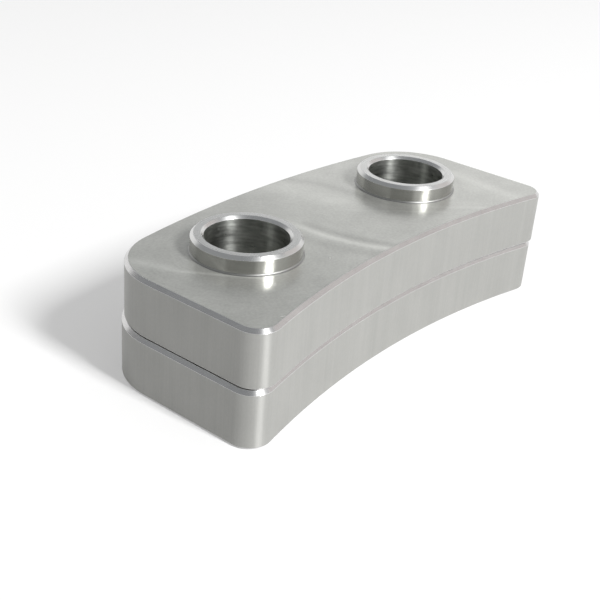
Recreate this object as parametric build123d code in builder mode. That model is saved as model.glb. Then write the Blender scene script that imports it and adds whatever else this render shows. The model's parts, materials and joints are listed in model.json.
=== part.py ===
from build123d import *

import os
from math import isclose, sqrt

# Two-plate mounting block, in millimetres. The origin is the middle of the block's footprint, on
# the surface that it stands on. The concave face looks towards -Y and the bosses point to +Z.

# Plate: a curved bar cut from a ring, with straight parallel ends.
plate_thickness = 12.7
plate_length = 106.2
plate_width = 42.5  # radial, from the concave face to the convex one
front_radius = 216.0  # of the concave face
front_corner_radius = 4.8
back_corner_radius = 16.0
top_edge_chamfer = 0.75
underside_edge_break = 0.25

# Bolt holes, each through a round boss that is machined in one with the plate.
hole_spacing = 56.8
hole_setback = 20.2  # from the middle of the concave face to the line of holes
bore_diameter = 17.7
bore_mouth_chamfer = 0.6
boss_diameter = 23.3
boss_height = 3.85
boss_rim_chamfer = 0.7
boss_root_fillet = 0.4

# Underside recesses, which take the bosses of the plate below so that the plates lie flush.
nest_clearance = 1.2  # radial, all round a centred boss
nest_headroom = 0.4  # over the top of the boss
nest_side_gap = 0.5  # radial, left on the tight side after the plates slid; clears the root fillet

# Worked out from the sizes above.
back_radius = front_radius + plate_width
corner_centre_x = plate_length / 2 - front_corner_radius
corner_centre_y = sqrt((front_radius + front_corner_radius) ** 2 - corner_centre_x**2)
arc_centre_y = -(back_radius + corner_centre_y - front_corner_radius) / 2
hole_line_y = arc_centre_y + front_radius + hole_setback
recess_diameter = boss_diameter + 2 * nest_clearance
recess_depth = boss_height + nest_headroom
slide = nest_clearance - nest_side_gap


def round_edges(plate, diameter):
    """The plate's circular edges of one diameter, grouped by height from the lowest up."""
    circles = plate.edges().filter_by(GeomType.CIRCLE)
    return circles.filter_by(lambda edge: isclose(edge.radius, diameter / 2)).group_by(Axis.Z)


def mounting_plate(shift_x, base_z):
    """One plate with two bosses, its underside at base_z, moved along X by shift_x."""
    underside = Plane((shift_x, 0, base_z))
    top_face = underside.offset(plate_thickness)
    drilling_side = Plane((shift_x, hole_line_y, base_z), x_dir=(1, 0, 0), z_dir=(0, 0, -1))
    with BuildPart() as plate:
        # The outline is a stretch of a ring, with tighter corners on its concave side.
        with BuildSketch(underside) as outline:
            with Locations((0, arc_centre_y)):
                Circle(back_radius)
                Circle(front_radius, mode=Mode.SUBTRACT)
                Rectangle(plate_length, back_radius, align=(Align.CENTER, Align.MIN), mode=Mode.INTERSECT)
            fillet(outline.vertices().group_by(Axis.Y)[-1], back_corner_radius)
            fillet(outline.vertices().group_by(Axis.Y)[0], front_corner_radius)
        extrude(amount=plate_thickness)
        chamfer(plate.faces().sort_by(Axis.Z)[-1].edges(), top_edge_chamfer)
        chamfer(plate.faces().sort_by(Axis.Z)[0].edges(), underside_edge_break)

        # The bosses: a chamfered rim and a small tool radius at the root.
        with BuildSketch(top_face):
            with Locations((0, hole_line_y)):
                with GridLocations(hole_spacing, 0, 2, 1):
                    Circle(boss_diameter / 2)
        extrude(amount=boss_height)
        chamfer(round_edges(plate, boss_diameter)[-1], boss_rim_chamfer)
        fillet(round_edges(plate, boss_diameter)[0], boss_root_fillet)

        # Each bore runs from a recess in the underside up through its boss.
        with Locations(drilling_side):
            with GridLocations(hole_spacing, 0, 2, 1):
                CounterBoreHole(bore_diameter / 2, recess_diameter / 2, recess_depth)
        chamfer(round_edges(plate, bore_diameter)[-1], bore_mouth_chamfer)
    return plate


os.makedirs("parts", exist_ok=True)
for label, shift_x, base_z in (("lower_plate", -slide / 2, 0), ("upper_plate", slide / 2, plate_thickness)):
    plate = mounting_plate(shift_x, base_z)
    plate.part.label = label
    export_step(plate.part, f"parts/{label}.step")
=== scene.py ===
import json
from math import atan2, cos, pi, radians, sin, sqrt, tan

import bmesh
import bpy
from mathutils import Matrix, Vector


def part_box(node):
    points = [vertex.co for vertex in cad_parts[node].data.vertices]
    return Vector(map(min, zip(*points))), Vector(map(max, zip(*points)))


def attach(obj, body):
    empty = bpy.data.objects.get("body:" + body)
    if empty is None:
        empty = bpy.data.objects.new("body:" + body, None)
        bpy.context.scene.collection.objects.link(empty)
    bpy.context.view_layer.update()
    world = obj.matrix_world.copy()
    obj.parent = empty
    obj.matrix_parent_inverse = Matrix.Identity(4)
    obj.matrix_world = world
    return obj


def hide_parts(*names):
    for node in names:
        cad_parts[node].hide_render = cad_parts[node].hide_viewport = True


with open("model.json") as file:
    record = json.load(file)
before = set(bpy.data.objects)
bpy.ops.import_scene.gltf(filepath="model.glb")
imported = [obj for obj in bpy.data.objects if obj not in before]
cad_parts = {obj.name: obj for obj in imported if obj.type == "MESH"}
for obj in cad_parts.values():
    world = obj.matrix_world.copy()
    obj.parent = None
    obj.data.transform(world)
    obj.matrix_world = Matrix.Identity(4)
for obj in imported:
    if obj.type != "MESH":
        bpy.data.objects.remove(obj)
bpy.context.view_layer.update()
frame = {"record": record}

# The look of a two-plate aluminium mounting block on a white table. Lengths are in metres unless
# a name says mm, and the frame is the solids' own: +Z up, -Y out of the concave face.
MM = 0.001

# Sizes of one plate that the frame doesn't hold.
FRONT_RADIUS = 216.0 * MM  # concave face
PLATE_WIDTH = 42.5 * MM  # radial
FRONT_CORNER_RADIUS = 4.8 * MM
BACK_CORNER_RADIUS = 16.0 * MM
TOP_EDGE_CHAMFER = 0.75 * MM
UNDERSIDE_EDGE_BREAK = 0.25 * MM
BOSS_HEIGHT = 3.85 * MM
BOSS_RIM_CHAMFER = 0.7 * MM
BOSS_ROOT_FILLET = 0.4 * MM
BORE_MOUTH_CHAMFER = 0.6 * MM
RECESS_HEADROOM = 0.4 * MM

# Finish of the edges: every corner that a cutter leaves is rounded a little.
EDGE_ROUND = 0.09 * MM
RECESS_FLOOR_ROUND = 0.2 * MM
SKIN = 0.03 * MM  # the outline lies this far inside the solid's box
SEAM_RELIEF_HEIGHT = 0.16 * MM  # the underside stands clear by this much round its rim
SEAM_RELIEF_WIDTH = 1.2 * MM
ARC_STEP = radians(2.5)
LONG_ARC_RADIUS = 80.0 * MM  # arcs over this radius get finer steps
LONG_ARC_STEPS = 6
BOSS_SEGMENTS = 180
ROUND_STEPS = 4


# ---------------------------------------------------------------- shapes

def mount(name):
    """Position and sizes of one of the record's mounts."""
    found = next(m for m in frame["record"]["mounts"] if m["name"] == name)
    return Vector(found["pos_m"]), found["dims"]


def arc(centre, radius, start, end):
    """Points and outward normals round an arc that runs from one angle to another."""
    steps = max(2, round(abs(end - start) / ARC_STEP))
    if radius > LONG_ARC_RADIUS:
        steps *= LONG_ARC_STEPS
    sign = 1 if end > start else -1
    for k in range(steps + 1):
        angle = start + (end - start) * k / steps
        way = Vector((cos(angle), sin(angle)))
        yield centre + way * radius, way * sign


def outline(length, middle_x, outward):
    """A plate's outline, anticlockwise, moved outward by that much: (point, normal) pairs."""
    half = length / 2
    back_radius = FRONT_RADIUS + PLATE_WIDTH
    front_x = half - FRONT_CORNER_RADIUS
    front_up = sqrt((FRONT_RADIUS + FRONT_CORNER_RADIUS) ** 2 - front_x**2)
    back_x = half - BACK_CORNER_RADIUS
    back_up = sqrt((back_radius - BACK_CORNER_RADIUS) ** 2 - back_x**2)
    centre = Vector((middle_x, -(back_radius + front_up - FRONT_CORNER_RADIUS) / 2))
    front_turn = atan2(front_up, front_x)
    back_turn = atan2(back_up, back_x)
    corner = FRONT_CORNER_RADIUS + outward
    big_corner = BACK_CORNER_RADIUS + outward
    right_front = centre + Vector((front_x, front_up))
    right_back = centre + Vector((back_x, back_up))
    left_back = centre + Vector((-back_x, back_up))
    left_front = centre + Vector((-front_x, front_up))
    runs = (
        arc(centre, FRONT_RADIUS - outward, pi - front_turn, front_turn),
        arc(right_front, corner, front_turn - pi, 0),
        arc(right_back, big_corner, 0, back_turn),
        arc(centre, back_radius + outward, back_turn, pi - back_turn),
        arc(left_back, big_corner, pi - back_turn, pi),
        arc(left_front, corner, pi, 2 * pi - front_turn),
    )
    same_point = EDGE_ROUND / 100
    points = []
    for run in runs:
        for point, normal in run:
            if not points or (point - points[-1][0]).length > same_point:
                points.append((point, normal))
    if (points[0][0] - points[-1][0]).length < same_point:
        points.pop()
    return points


def circle(centre, radius):
    """A circle as (point, normal) pairs, anticlockwise."""
    for k in range(BOSS_SEGMENTS):
        angle = 2 * pi * k / BOSS_SEGMENTS
        way = Vector((cos(angle), sin(angle)))
        yield centre + way * radius, way


def soften(start, corners, end):
    """Rounds a profile's corners. Each corner is (across, up, radius, its finish, the next surface's finish).
    Returns (point, normal, finish of the strip after it) along it, with normals to the right of the way."""
    places = [Vector(start)] + [Vector(c[:2]) for c in corners] + [Vector(end)]
    out = []
    for k, (_, _, radius, rounding, after) in enumerate(corners, 1):
        back = (places[k - 1] - places[k]).normalized()
        on = (places[k + 1] - places[k]).normalized()
        half = back.angle(on) / 2
        middle = places[k] + (back + on).normalized() * radius / sin(half)
        reach = radius / tan(half)
        from_way = (places[k] + back * reach - middle).normalized()
        to_way = (places[k] + on * reach - middle).normalized()
        right = Vector((-back.y, back.x))
        sign = 1 if from_way.dot(right) > 0 else -1
        for step in range(ROUND_STEPS + 1):
            way = from_way.slerp(to_way, step / ROUND_STEPS)
            strip = after if step == ROUND_STEPS else rounding
            out.append((middle + way * radius, way * sign, strip))
    return out


def sweep(bm, profile, ring_at, normals, slots):
    """Skins a profile swept along a closed line. ring_at(across) gives the line moved outward that far."""
    rings = []
    for spot, turn, _ in profile:
        ring = []
        for point, normal in ring_at(spot.x):
            vertex = bm.verts.new((point.x, point.y, spot.y))
            normals[vertex] = Vector((normal.x * turn.x, normal.y * turn.x, turn.y))
            ring.append(vertex)
        rings.append(ring)
    count = len(rings[0])
    for (_, _, material), low, high in zip(profile, rings, rings[1:]):
        for i in range(count):
            j = (i + 1) % count
            bm.faces.new((low[i], low[j], high[j], high[i])).material_index = slots.index(material)
    return rings[0], rings[-1]


def cap(bm, loops, up, slot):
    """Fills the flat face inside the first loop and outside the others."""
    edges = [bm.edges.get((ring[i], ring[(i + 1) % len(ring)])) for ring in loops for i in range(len(ring))]
    filled = bmesh.ops.triangle_fill(bm, use_beauty=True, edges=edges, normal=(0, 0, up))
    for face in filled["geom"]:
        if isinstance(face, bmesh.types.BMFace):
            face.material_index = slot
            face.normal_update()
            if face.normal.z * up < 0:
                face.normal_flip()


def plate_piece(name, node, holes, materials):
    """One plate with its two bosses, built over its solid."""
    low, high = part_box(node)
    length = high.x - low.x
    middle_x = (low.x + high.x) / 2
    base = low.z
    boss_top = high.z
    top = boss_top - BOSS_HEIGHT
    slots = list(materials)
    bm = bmesh.new()
    normals = {}

    rim_base = base + SEAM_RELIEF_HEIGHT
    wall = soften(
        (-2 * SEAM_RELIEF_WIDTH, base),
        [
            # the seam relief takes the darker root finish: painted shade between the plates
            (-SEAM_RELIEF_WIDTH, base, EDGE_ROUND / 2, "root", "root"),
            (-SEAM_RELIEF_WIDTH, rim_base, EDGE_ROUND / 2, "root", "root"),
            (-UNDERSIDE_EDGE_BREAK, rim_base, EDGE_ROUND / 2, "edge", "edge"),
            (0, rim_base + UNDERSIDE_EDGE_BREAK, EDGE_ROUND, "edge", "side"),
            (0, top - TOP_EDGE_CHAMFER, EDGE_ROUND, "edge", "chamfer"),
            (-TOP_EDGE_CHAMFER, top, EDGE_ROUND, "edge", "top"),
        ],
        (-2 * TOP_EDGE_CHAMFER, top),
    )
    outer_low, outer_high = sweep(
        bm, wall, lambda across: outline(length, middle_x, across - SKIN), normals, slots
    )

    top_loops, low_loops = [outer_high], [outer_low]
    for centre, boss_radius, bore_radius, recess_radius in holes:
        recess_top = base + BOSS_HEIGHT + RECESS_HEADROOM
        hole = soften(
            (2 * boss_radius, top),
            [
                # the boss's root fillet takes the darker root finish: painted shade in the crease at its foot
                (boss_radius, top, BOSS_ROOT_FILLET, "root", "boss"),
                (boss_radius, boss_top - BOSS_RIM_CHAMFER, EDGE_ROUND, "edge", "rim"),
                (boss_radius - BOSS_RIM_CHAMFER, boss_top, EDGE_ROUND, "edge", "land"),
                (bore_radius + BORE_MOUTH_CHAMFER, boss_top, EDGE_ROUND, "edge", "rim"),
                (bore_radius, boss_top - BORE_MOUTH_CHAMFER, EDGE_ROUND, "edge", "bore"),
                (bore_radius, recess_top, EDGE_ROUND, "edge", "top"),
                (recess_radius, recess_top, RECESS_FLOOR_ROUND, "bore", "bore"),
                (recess_radius, base, EDGE_ROUND, "edge", "top"),
            ],
            (2 * recess_radius, base),
        )
        first, last = sweep(bm, hole, lambda radius: circle(centre, radius), normals, slots)
        top_loops.append(first)
        low_loops.append(last)
    cap(bm, top_loops, 1, slots.index("top"))
    cap(bm, low_loops, -1, slots.index("top"))

    mesh = bpy.data.meshes.new(name)
    bm.verts.index_update()
    exact = [normals[v] for v in bm.verts]
    bm.to_mesh(mesh)
    bm.free()
    for key in slots:
        mesh.materials.append(materials[key])
    mesh.shade_smooth()
    mesh.normals_split_custom_set_from_vertices(exact)
    piece = bpy.data.objects.new(name, mesh)
    bpy.context.scene.collection.objects.link(piece)
    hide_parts(node)
    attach(piece, "root")
    return piece


# ---------------------------------------------------------------- materials

def add(tree, kind, inputs=None, **settings):
    """Adds a node, with its settings and its inputs, which are values or other nodes' outputs."""
    made = tree.nodes.new(kind)
    for key, value in settings.items():
        setattr(made, key, value)
    for key, value in (inputs or {}).items():
        if isinstance(value, bpy.types.NodeSocket):
            tree.links.new(value, made.inputs[key])
        else:
            made.inputs[key].default_value = value
    return made


def calc(tree, operation, *terms, **settings):
    return add(tree, "ShaderNodeMath", dict(enumerate(terms)), operation=operation, **settings).outputs[0]


def vector_calc(tree, operation, *terms, out="Vector"):
    made = add(tree, "ShaderNodeVectorMath", dict(enumerate(terms)), operation=operation)
    return made.outputs[out]


def place(tree):
    """The point being shaded, in millimetres in the block's own frame."""
    where = add(tree, "ShaderNodeTexCoord").outputs["Object"]
    return vector_calc(tree, "MULTIPLY", where, (1000, 1000, 1000))


def noise(tree, vector, detail=2.0, roughness=0.5, scale=1.0):
    """Smooth noise from -1 to 1, with cells about 1/scale long."""
    made = add(
        tree, "ShaderNodeTexNoise",
        {"Vector": vector, "Scale": scale, "Detail": detail, "Roughness": roughness},
    )
    return calc(tree, "MULTIPLY_ADD", made.outputs["Fac"], 2.0, -1.0)


def stretched(tree, vector, scales):
    """The point with each axis scaled, so that noise on it has cells of 1/scale mm."""
    return vector_calc(tree, "MULTIPLY", vector, scales)


def mixed(tree, *parts):
    """A weighted sum of (signal, weight) pairs."""
    total = 0.0
    for signal, weight in parts:
        total = calc(tree, "MULTIPLY_ADD", signal, weight, total)
    return total


def around_boss(tree, where):
    """Distance from the nearer boss's axis, the angle round it, and the flat vector from it."""
    x, y, _ = add(tree, "ShaderNodeSeparateXYZ", {0: where}).outputs
    side = calc(tree, "SIGN", x)
    from_x = calc(tree, "MULTIPLY_ADD", side, -boss_x_mm, x)
    from_y = calc(tree, "SUBTRACT", y, boss_y_mm)
    flat = add(tree, "ShaderNodeCombineXYZ", {0: from_x, 1: from_y}).outputs[0]
    return vector_calc(tree, "LENGTH", flat, out="Value"), calc(tree, "ARCTAN2", from_y, from_x), flat


def finish(
    name, colour, roughness, shade, rough, bump=None, bump_mm=0.0,
    anisotropic=0.0, tangent=None, metallic=1.0,
):
    """A bare metal finish. shade and rough are signals about 0 that lighten the colour and roughen it.
    An anisotropic one scatters light across its tangent, which is level unless one is given."""
    material = bpy.data.materials.new(name)
    material.use_nodes = True
    tree = material.node_tree
    surface = tree.nodes["Principled BSDF"]
    where = place(tree)
    lighter = calc(tree, "ADD", shade(tree, where), 1.0)
    tint = vector_calc(tree, "SCALE", colour)
    tree.links.new(lighter, tint.node.inputs["Scale"])
    tree.links.new(tint, surface.inputs["Base Color"])
    uneven = calc(tree, "ADD", rough(tree, where), roughness, use_clamp=True)
    tree.links.new(uneven, surface.inputs["Roughness"])
    surface.inputs["Metallic"].default_value = metallic
    if bump:
        lumps = add(
            tree, "ShaderNodeBump",
            {"Height": bump(tree, where), "Distance": bump_mm * MM, "Strength": 1.0},
        )
        tree.links.new(lumps.outputs["Normal"], surface.inputs["Normal"])
    if anisotropic:
        surface.inputs["Anisotropic"].default_value = anisotropic
        surface.inputs["Anisotropic Rotation"].default_value = 0.25
        facing = add(tree, "ShaderNodeNewGeometry").outputs["Normal"]
        level = vector_calc(tree, "CROSS_PRODUCT", (0, 0, 1), facing)
        tree.links.new(tangent(tree, where) if tangent else level, surface.inputs["Tangent"])
    return material


def upright_grain(tree, where):
    """Fine lines up and down a wall, as an end mill leaves them."""
    return noise(tree, stretched(tree, where, (2.6, 2.6, 0.05)), detail=3.0, roughness=0.6)


def blotches(tree, where, size_mm):
    """Cloudy patches of about that size."""
    return noise(tree, where, detail=3.0, scale=1 / size_mm)


def upright_bands(tree, where):
    """Broad darker and lighter bands up and down a wall."""
    return noise(tree, stretched(tree, where, (0.35, 0.35, 0.02)), detail=2.0, roughness=0.6)


def side_shade(tree, where):
    speckle = noise(tree, stretched(tree, where, (3.0, 3.0, 1.6)), detail=2.0)
    return mixed(
        tree, (upright_grain(tree, where), 0.10), (upright_bands(tree, where), 0.08),
        (blotches(tree, where, 9), 0.06), (speckle, 0.06),
    )


def side_rough(tree, where):
    return mixed(tree, (upright_grain(tree, where), 0.07), (blotches(tree, where, 14), 0.04))


def ring_mark(tree, where, centre, radius, width, begin, end):
    """A soft arc, 1 along its middle, as a cutter's edge leaves it. Lengths in mm, angles in degrees."""
    away = vector_calc(tree, "SUBTRACT", where, (*centre, 0))
    x, y, _ = add(tree, "ShaderNodeSeparateXYZ", {0: away}).outputs
    flat = add(tree, "ShaderNodeCombineXYZ", {0: x, 1: y}).outputs[0]
    distance = vector_calc(tree, "LENGTH", flat, out="Value")
    off = calc(tree, "DIVIDE", calc(tree, "SUBTRACT", distance, radius), width)
    across = calc(tree, "EXPONENT", calc(tree, "MULTIPLY", calc(tree, "MULTIPLY", off, off), -1.0))
    middle = radians((begin + end) / 2)
    turned_by = vector_calc(tree, "DOT_PRODUCT", flat, (cos(middle), sin(middle), 0), out="Value")
    facing = calc(tree, "DIVIDE", turned_by, distance)
    limit = cos(radians((end - begin) / 2))
    full = limit + (1 - limit) * 0.6  # the arc has its whole strength from here to its middle
    along = add(
        tree, "ShaderNodeMapRange", {0: facing, 1: limit, 2: full},
        interpolation_type="SMOOTHSTEP",
    ).outputs[0]
    return calc(tree, "MULTIPLY", across, along)


def streak_mark(tree, where, start, end, width):
    """A soft straight streak between two points of the top, 1 along its middle. Lengths in mm."""
    start, end = Vector(start), Vector(end)
    middle, half = (start + end) / 2, (end - start) / 2
    way = half.normalized()
    away = vector_calc(tree, "SUBTRACT", where, (*middle, 0))
    off = vector_calc(tree, "DOT_PRODUCT", away, (-way.y / width, way.x / width, 0), out="Value")
    along = vector_calc(tree, "DOT_PRODUCT", away, (way.x / half.length, way.y / half.length, 0), out="Value")
    fade = calc(tree, "POWER", calc(tree, "ABSOLUTE", along), 4.0)
    total = calc(tree, "MULTIPLY_ADD", off, off, fade)
    return calc(tree, "EXPONENT", calc(tree, "MULTIPLY", total, -1.0))


def swirl(tree, where):
    """Fine arcs round the nearer boss, where the cutter went round it."""
    radius, angle, _ = around_boss(tree, where)
    lines = add(
        tree, "ShaderNodeCombineXYZ",
        {0: calc(tree, "MULTIPLY", radius, 1.3), 1: calc(tree, "MULTIPLY", angle, 3.0)},
    ).outputs[0]
    return noise(tree, lines, detail=3.0, roughness=0.6)


def cutter_marks_and_painted_sheen(tree, where):
    """The broad arcs and streaks that the face mill left on the top, and a lighter streak along the far end
    that is a painted reflection.
    """
    right_boss = (boss_x_mm, boss_y_mm)
    left_boss = (-boss_x_mm, boss_y_mm)
    return mixed(
        tree,
        (ring_mark(tree, where, right_boss, 38.6, 1.1, 172, 216), 0.30),
        (ring_mark(tree, where, right_boss, 36.0, 1.3, 175, 220), -0.16),
        (ring_mark(tree, where, right_boss, 42.5, 1.8, 178, 215), -0.12),
        (ring_mark(tree, where, left_boss, 37.0, 4.5, -8, 42), 0.15),
        (ring_mark(tree, where, left_boss, 43.5, 1.6, -6, 44), -0.14),
        (streak_mark(tree, where, (-49, 15), (-44.5, 3.5), 1.5), 0.22),
        (streak_mark(tree, where, (-45, 4), (-35, -9.5), 0.5), 0.30),
        # painted reflection: a lighter streak along the far end, where the top reflects the white horizon
        (streak_mark(tree, where, (46, 12), (43, -22), 2.2), 0.14),
        (streak_mark(tree, where, (14, -4), (34, -22), 0.8), 0.10),
        (streak_mark(tree, where, (4, 2), (24, -17), 0.6), 0.08),
    )


def top_shade(tree, where):
    speckle = noise(tree, where, detail=3.0, scale=1.8)
    return mixed(
        tree, (swirl(tree, where), 0.07), (blotches(tree, where, 8), 0.16), (speckle, 0.17),
        (cutter_marks_and_painted_sheen(tree, where), 1.0),
    )


def top_rough(tree, where):
    return mixed(tree, (swirl(tree, where), 0.04), (blotches(tree, where, 10), 0.05))


def around_tangent(tree, where):
    """The level direction round the nearer boss."""
    _, _, flat = around_boss(tree, where)
    return vector_calc(tree, "NORMALIZE", vector_calc(tree, "CROSS_PRODUCT", (0, 0, 1), flat))


def turned_lines(tree, where, per_mm=3.0, per_turn=0.6):
    """Fine rings round a turned or bored face, broken where per_turn is high."""
    radius, angle, _ = around_boss(tree, where)
    height = add(tree, "ShaderNodeSeparateXYZ", {0: where}).outputs[2]
    along = calc(tree, "MULTIPLY", calc(tree, "ADD", radius, height), per_mm)
    return noise(
        tree,
        add(tree, "ShaderNodeCombineXYZ", {0: along, 1: calc(tree, "MULTIPLY", angle, per_turn)}).outputs[0],
        detail=3.0, roughness=0.6,
    )


def turned_shade(tree, where):
    return mixed(tree, (turned_lines(tree, where), 0.08), (blotches(tree, where, 5), 0.08))


def turned_rough(tree, where):
    return mixed(tree, (turned_lines(tree, where), 0.06), (blotches(tree, where, 4), 0.05))


def edge_shade(tree, where):
    return mixed(tree, (blotches(tree, where, 6), 0.10), (blotches(tree, where, 1.5), 0.05))


def edge_rough(tree, where):
    return mixed(tree, (blotches(tree, where, 5), 0.05))


def bore_rings(tree, where):
    return turned_lines(tree, where, 1.6, 2.2)


def bore_shade(tree, where):
    stains = noise(tree, stretched(tree, where, (0.35, 0.35, 0.6)), detail=4.0, roughness=0.65)
    return mixed(tree, (bore_rings(tree, where), 0.55), (stains, 0.30))


def bore_rough(tree, where):
    return mixed(tree, (bore_rings(tree, where), 0.12), (blotches(tree, where, 4), 0.08))


_, bore_dims = mount("upper_left_bore")
_, spigot_dims = mount("left_spigot")
_, recess_dims = mount("left_recess")
boss_x_mm = (mount("right_spigot")[0].x - mount("left_spigot")[0].x) / 2 / MM
boss_y_mm = mount("left_spigot")[0].y / MM

finishes = {
    "side": finish(
        "end_milled_side", (0.395, 0.395, 0.378), 0.53, side_shade, side_rough, upright_grain, 0.003,
        anisotropic=0.9, metallic=0.32,
    ),
    "chamfer": finish("bright_chamfer", (0.66, 0.655, 0.65), 0.24, edge_shade, edge_rough),
    "edge": finish("broken_edge", (0.70, 0.70, 0.70), 0.28, edge_shade, edge_rough),
    "top": finish(
        "milled_top", (0.53, 0.535, 0.505), 0.24, top_shade, top_rough, swirl, 0.002,
        anisotropic=0.3, tangent=around_tangent, metallic=0.6,
    ),
    "boss": finish(
        "turned_boss", (0.46, 0.46, 0.44), 0.20, turned_shade, turned_rough, turned_lines, 0.002,
        anisotropic=0.6,
    ),
    "rim": finish(
        "turned_chamfer", (0.70, 0.70, 0.69), 0.28, turned_shade, turned_rough, anisotropic=0.4,
    ),
    # The root finish is darker than the boss and top beside it: painted shade in the crease at each boss's
    # foot and in the seam relief between the plates.
    "root": finish("boss_root_painted_shade", (0.36, 0.36, 0.35), 0.4, turned_shade, turned_rough),
    "land": finish("faced_land", (0.76, 0.76, 0.745), 0.28, turned_shade, turned_rough),
    "bore": finish(
        "bored_wall", (0.44, 0.45, 0.425), 0.33, bore_shade, bore_rough, bore_rings, 0.010,
        anisotropic=0.85,
    ),
}

# ---------------------------------------------------------------- the block

for node in ("lower_plate", "upper_plate"):
    level = node.split("_")[0]
    holes = [
        (mount(f"{level}_{hand}_bore")[0].xy, spigot_dims["r_mm"] * MM, bore_dims["r_mm"] * MM,
         recess_dims["r_mm"] * MM)
        for hand in ("left", "right")
    ]
    plate_piece(f"{node}_finish", node, holes, finishes)

# ---------------------------------------------------------------- table, light and camera

FLOOR_SIZE = 6.0
bm = bmesh.new()
bmesh.ops.create_grid(bm, x_segments=8, y_segments=8, size=FLOOR_SIZE / 2)
floor_mesh = bpy.data.meshes.new("white_table")
bm.to_mesh(floor_mesh)
bm.free()
floor = bpy.data.objects.new("white_table", floor_mesh)
bpy.context.scene.collection.objects.link(floor)


def seen_directly(tree):
    """1 for what the camera, a gloss or a glass looks at, and 0 for the light it sheds."""
    rays = add(tree, "ShaderNodeLightPath").outputs
    glossy = calc(tree, "MAXIMUM", rays["Is Camera Ray"], rays["Is Glossy Ray"])
    return calc(tree, "MAXIMUM", glossy, rays["Is Transmission Ray"])


TABLE_LIFT = 0.20  # makes the lit table white to the eye, with no more light on the block
table = bpy.data.materials.new("white_table")
table.use_nodes = True
surface = table.node_tree.nodes["Principled BSDF"]
surface.inputs["Base Color"].default_value = (0.8, 0.8, 0.8, 1)
surface.inputs["Roughness"].default_value = 0.9
surface.inputs["Specular IOR Level"].default_value = 0.1
surface.inputs["Emission Color"].default_value = (1, 1, 1, 1)
lift = calc(table.node_tree, "MULTIPLY", seen_directly(table.node_tree), TABLE_LIFT)
table.node_tree.links.new(lift, surface.inputs["Emission Strength"])
floor_mesh.materials.append(table)

ROOM_STRENGTH = 0.45
world = bpy.data.worlds.new("studio")
world.use_nodes = True
bpy.context.scene.world = world
tree = world.node_tree
room = tree.nodes["Background"]
room.inputs["Color"].default_value = (1, 1, 1, 1)
room.inputs["Strength"].default_value = ROOM_STRENGTH
white = add(tree, "ShaderNodeBackground", {"Color": (1, 1, 1, 1), "Strength": 1.0})
pick = add(
    tree, "ShaderNodeMixShader", {"Fac": seen_directly(tree), 1: room.outputs[0], 2: white.outputs[0]}
)
tree.links.new(pick.outputs[0], tree.nodes["World Output"].inputs["Surface"])


def direction(azimuth, elevation):
    """The unit vector towards that azimuth and elevation, in degrees."""
    a, e = radians(azimuth), radians(elevation)
    return Vector((cos(e) * cos(a), cos(e) * sin(a), sin(e)))


def card(name, middle, facing, width, height, colour):
    """A glowing card square to the line of facing, which is no lamp. Only the metal sees it, as a painted
    reflection of a darker part of the room.
    """
    bm = bmesh.new()
    bmesh.ops.create_grid(bm, x_segments=1, y_segments=1, size=0.5)
    bmesh.ops.scale(bm, vec=(width, height, 1), verts=bm.verts)
    mesh = bpy.data.meshes.new(name)
    bm.to_mesh(mesh)
    bm.free()
    reflected_glow = bpy.data.materials.new(name)
    reflected_glow.use_nodes = True
    nodes = reflected_glow.node_tree.nodes
    nodes.remove(nodes["Principled BSDF"])
    glow = nodes.new("ShaderNodeEmission")
    glow.inputs["Color"].default_value = (*colour, 1)
    reflected_glow.node_tree.links.new(glow.outputs[0], nodes["Material Output"].inputs["Surface"])
    reflected_glow.cycles.emission_sampling = "NONE"
    mesh.materials.append(reflected_glow)
    board = bpy.data.objects.new(name, mesh)
    bpy.context.scene.collection.objects.link(board)
    board.location = middle
    board.rotation_euler = facing.to_track_quat("Z", "Y").to_euler()
    board.visible_camera = board.visible_diffuse = board.visible_shadow = False


def side_card(name, azimuth, elevation, distance, width, height, colour):
    """A card that faces the block from that way."""
    middle = direction(azimuth, elevation) * distance
    card(name, middle, middle, width, height, colour)


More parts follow.
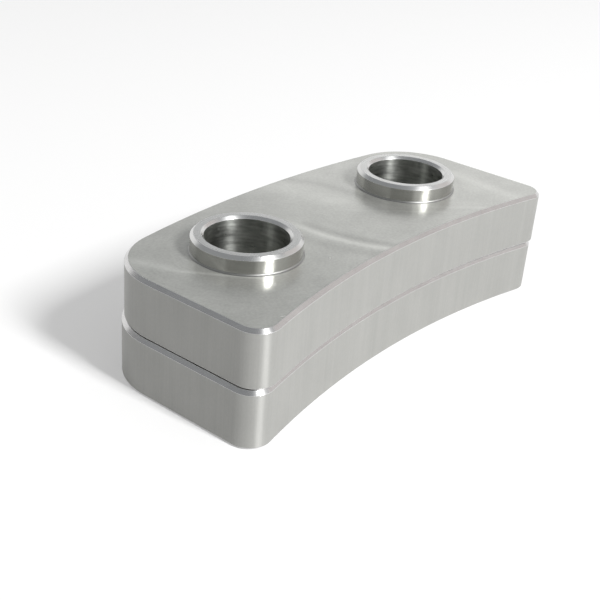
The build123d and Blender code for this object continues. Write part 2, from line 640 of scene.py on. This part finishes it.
# Glowing cards that only the metal reflects: painted reflections of a darker room above and at the sides, and
# of a lighter pinkish patch at the right.
card("ceiling_card", Vector((0.02, 0.25, 0.6)), Vector((0, 0, 1)), 1.94, 1.8, (0.31, 0.32, 0.33))
side_card("camera_side_card", -150, 22, 0.6, 0.62, 0.42, (0.22, 0.22, 0.21))
side_card("left_card", 140, 14, 0.8, 1.2, 0.5, (0.36, 0.36, 0.36))
side_card("right_card", -22, 34, 0.8, 0.6, 0.4, (0.70, 0.66, 0.65))

LAMP_AZIMUTH, LAMP_ELEVATION = -90, 38
LAMP_DISTANCE = 2.0
LAMP_WIDTH, LAMP_HEIGHT = 0.3, 0.55
LAMP_WATTS = 40.0
block_middle = Vector((0, 0, 12.7 * MM))
lamp_data = bpy.data.lights.new("window", "AREA")
lamp_data.shape = "RECTANGLE"
lamp_data.size = LAMP_WIDTH
lamp_data.size_y = LAMP_HEIGHT
lamp_data.energy = LAMP_WATTS
lamp = bpy.data.objects.new("window", lamp_data)
bpy.context.scene.collection.objects.link(lamp)
way = direction(LAMP_AZIMUTH, LAMP_ELEVATION)
lamp.location = block_middle + way * LAMP_DISTANCE
lamp.rotation_euler = way.to_track_quat("Z", "Y").to_euler()

CAMERA_TARGET = Vector((-17.3, -4.9, 12.7)) * MM
CAMERA_AZIMUTH, CAMERA_ELEVATION = -142.44, 27.27
CAMERA_DISTANCE = 228.8 * MM
CAMERA_ROLL = 4.52
CAMERA_LENS = 64.2
camera_data = bpy.data.cameras.new("camera")
camera_data.lens = CAMERA_LENS
camera_data.sensor_width = 36
camera_data.clip_start = 0.01
camera = bpy.data.objects.new("camera", camera_data)
bpy.context.scene.collection.objects.link(camera)
way = direction(CAMERA_AZIMUTH, CAMERA_ELEVATION)
camera.location = CAMERA_TARGET + way * CAMERA_DISTANCE
roll = Matrix.Rotation(radians(CAMERA_ROLL), 3, "Z")
camera.rotation_euler = (way.to_track_quat("Z", "Y").to_matrix() @ roll).to_euler()
bpy.context.scene.camera = camera
bpy.context.scene.view_settings.view_transform = "Standard"

bpy.context.view_layer.update()
